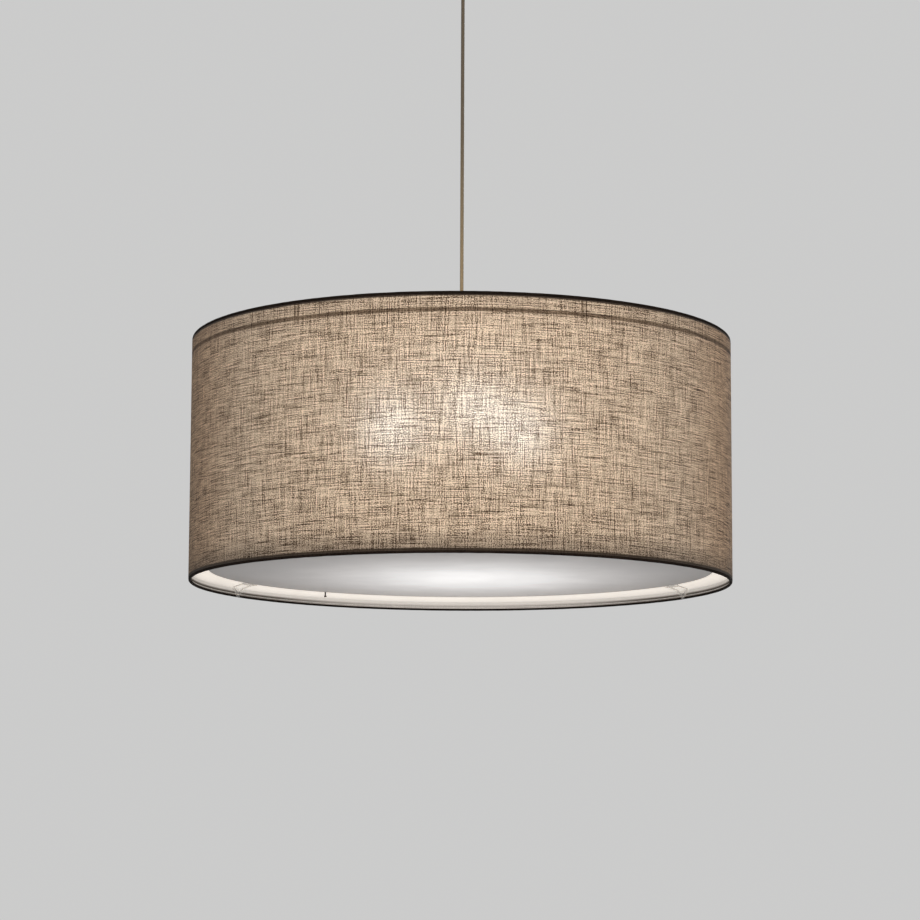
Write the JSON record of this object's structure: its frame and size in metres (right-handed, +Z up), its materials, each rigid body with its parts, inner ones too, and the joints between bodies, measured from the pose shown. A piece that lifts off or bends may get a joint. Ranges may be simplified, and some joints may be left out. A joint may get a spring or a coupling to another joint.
{
  "type": "pendant light",
  "caption": "Drum pendant light: a linen shade with a lift-out diffuser disc hangs on a cord from a ceiling rose, with screw-in bulbs on a central hub.",
  "frame": {"origin": "centre of the ceiling bracket's top face, which lies against the ceiling", "axes": "+Z up into the ceiling; the viewer stands towards -Y; +X is to the viewer's right"},
  "size_m": [0.62, 0.62, 0.7698],
  "materials": {
    "natural_linen": "open linen weave with slubs",
    "linen_hem": "folded linen over a wire",
    "white_liner": "satin white film",
    "opal_acrylic": "satin opal sheet",
    "clear_plastic": "clear moulded plastic",
    "zinc_steel": "zinc plated",
    "white_lacquer": "white lacquer",
    "white_plastic": "moulded white",
    "gold_cord": "braided textile sleeve",
    "brass": "plain brass",
    "nickel": "nickel plated",
    "aluminium_cap": "plain aluminium",
    "opal_glass": "opal white glass",
    "dark_pin": "dark"
  },
  "bodies": {
    "ceiling_rose": {"ceiling_bracket": "zinc_steel", "canopy": "white_lacquer", "canopy_screw_1": "nickel", "canopy_screw_2": "nickel", "terminal_block": "white_plastic", "cord_grip_collar": "white_plastic", "cord_grip_lock_nut": "white_plastic", "cord_tail": "gold_cord"},
    "swivel": {"swivel_ball": "white_plastic"},
    "cord": {"suspension_cord": "gold_cord", "cord_ferrule": "nickel"},
    "lamp": {"cord_gland": "white_plastic", "hub_stem": "nickel", "stem_nut": "nickel", "hub_cap_nut": "nickel", "hub_lid": "white_lacquer", "hub_bowl": "white_lacquer", "spider_washer": "zinc_steel", "frame_ring": "zinc_steel", "shade_fabric": "natural_linen", "shade_liner": "white_liner", "shade_top_hem": "linen_hem", "shade_bottom_hem": "linen_hem", "shade_top_ring": "zinc_steel", "shade_bottom_ring": "zinc_steel", "spider_arm_1": "zinc_steel", "holder_nipple_1": "nickel", "lampholder_1": "white_plastic", "holder_shell_1": "brass", "bottom_clip_1": "clear_plastic", "spider_arm_2": "zinc_steel", "holder_nipple_2": "nickel", "lampholder_2": "white_plastic", "holder_shell_2": "brass", "bottom_clip_2": "clear_plastic", "spider_arm_3": "zinc_steel", "holder_nipple_3": "nickel", "lampholder_3": "white_plastic", "holder_shell_3": "brass", "bottom_clip_3": "clear_plastic", "top_clip_1": "clear_plastic", "top_clip_2": "clear_plastic", "top_clip_3": "clear_plastic", "top_clip_4": "clear_plastic", "top_clip_5": "clear_plastic", "top_clip_6": "clear_plastic"},
    "diffuser": {"diffuser_disc": "opal_acrylic", "diffuser_peg": "dark_pin"},
    "bulb_1_tip": {"bulb_contact_1": "brass"},
    "bulb_1": {"bulb_cap_1": "aluminium_cap", "bulb_glass_1": "opal_glass"},
    "bulb_2_tip": {"bulb_contact_2": "brass"},
    "bulb_2": {"bulb_cap_2": "aluminium_cap", "bulb_glass_2": "opal_glass"},
    "bulb_3_tip": {"bulb_contact_3": "brass"},
    "bulb_3": {"bulb_cap_3": "aluminium_cap", "bulb_glass_3": "opal_glass"}
  },
  "joints": [
    {"name": "swing_x", "type": "hinge", "parent": "ceiling_rose", "child": "swivel", "pos_m": [0, 0, -0.0435], "axis": [1, 0, 0], "range_deg": [-20, 20]},
    {"name": "swing_y", "type": "hinge", "parent": "swivel", "child": "cord", "pos_m": [0, 0, -0.0435], "axis": [0, 1, 0], "range_deg": [-20, 20]},
    {"name": "twist", "type": "hinge", "parent": "cord", "child": "lamp", "pos_m": [0, 0, -0.49], "axis": [0, 0, 1], "range_deg": [-180, 180]},
    {"name": "diffuser_lift", "type": "slide", "parent": "lamp", "child": "diffuser", "axis": [0, 0, 1], "range_m": [0, 0.04]},
    {"name": "bulb_1_out", "type": "slide", "parent": "lamp", "child": "bulb_1_tip", "axis": [0.1422, -0.8067, -0.5736], "range_m": [0, 0.0218]},
    {"name": "bulb_1_turn", "type": "hinge", "parent": "bulb_1_tip", "child": "bulb_1", "pos_m": [0, 0, -0.52385], "axis": [0.1422, -0.8067, -0.5736], "range_deg": [0, 2160]},
    {"name": "bulb_2_out", "type": "slide", "parent": "lamp", "child": "bulb_2_tip", "axis": [0.6275, 0.5265, -0.5736], "range_m": [0, 0.0218]},
    {"name": "bulb_2_turn", "type": "hinge", "parent": "bulb_2_tip", "child": "bulb_2", "pos_m": [0, 0, -0.52385], "axis": [0.6275, 0.5265, -0.5736], "range_deg": [0, 2160]},
    {"name": "bulb_3_out", "type": "slide", "parent": "lamp", "child": "bulb_3_tip", "axis": [-0.7698, 0.2802, -0.5736], "range_m": [0, 0.0218]},
    {"name": "bulb_3_turn", "type": "hinge", "parent": "bulb_3_tip", "child": "bulb_3", "pos_m": [0, 0, -0.52385], "axis": [-0.7698, 0.2802, -0.5736], "range_deg": [0, 2160]}
  ],
  "couplings": [
    {"joint": "bulb_1_out", "follows": "bulb_1_turn", "m_per_rad": 0.00057774},
    {"joint": "bulb_2_out", "follows": "bulb_2_turn", "m_per_rad": 0.00057774},
    {"joint": "bulb_3_out", "follows": "bulb_3_turn", "m_per_rad": 0.00057774}
  ]
}
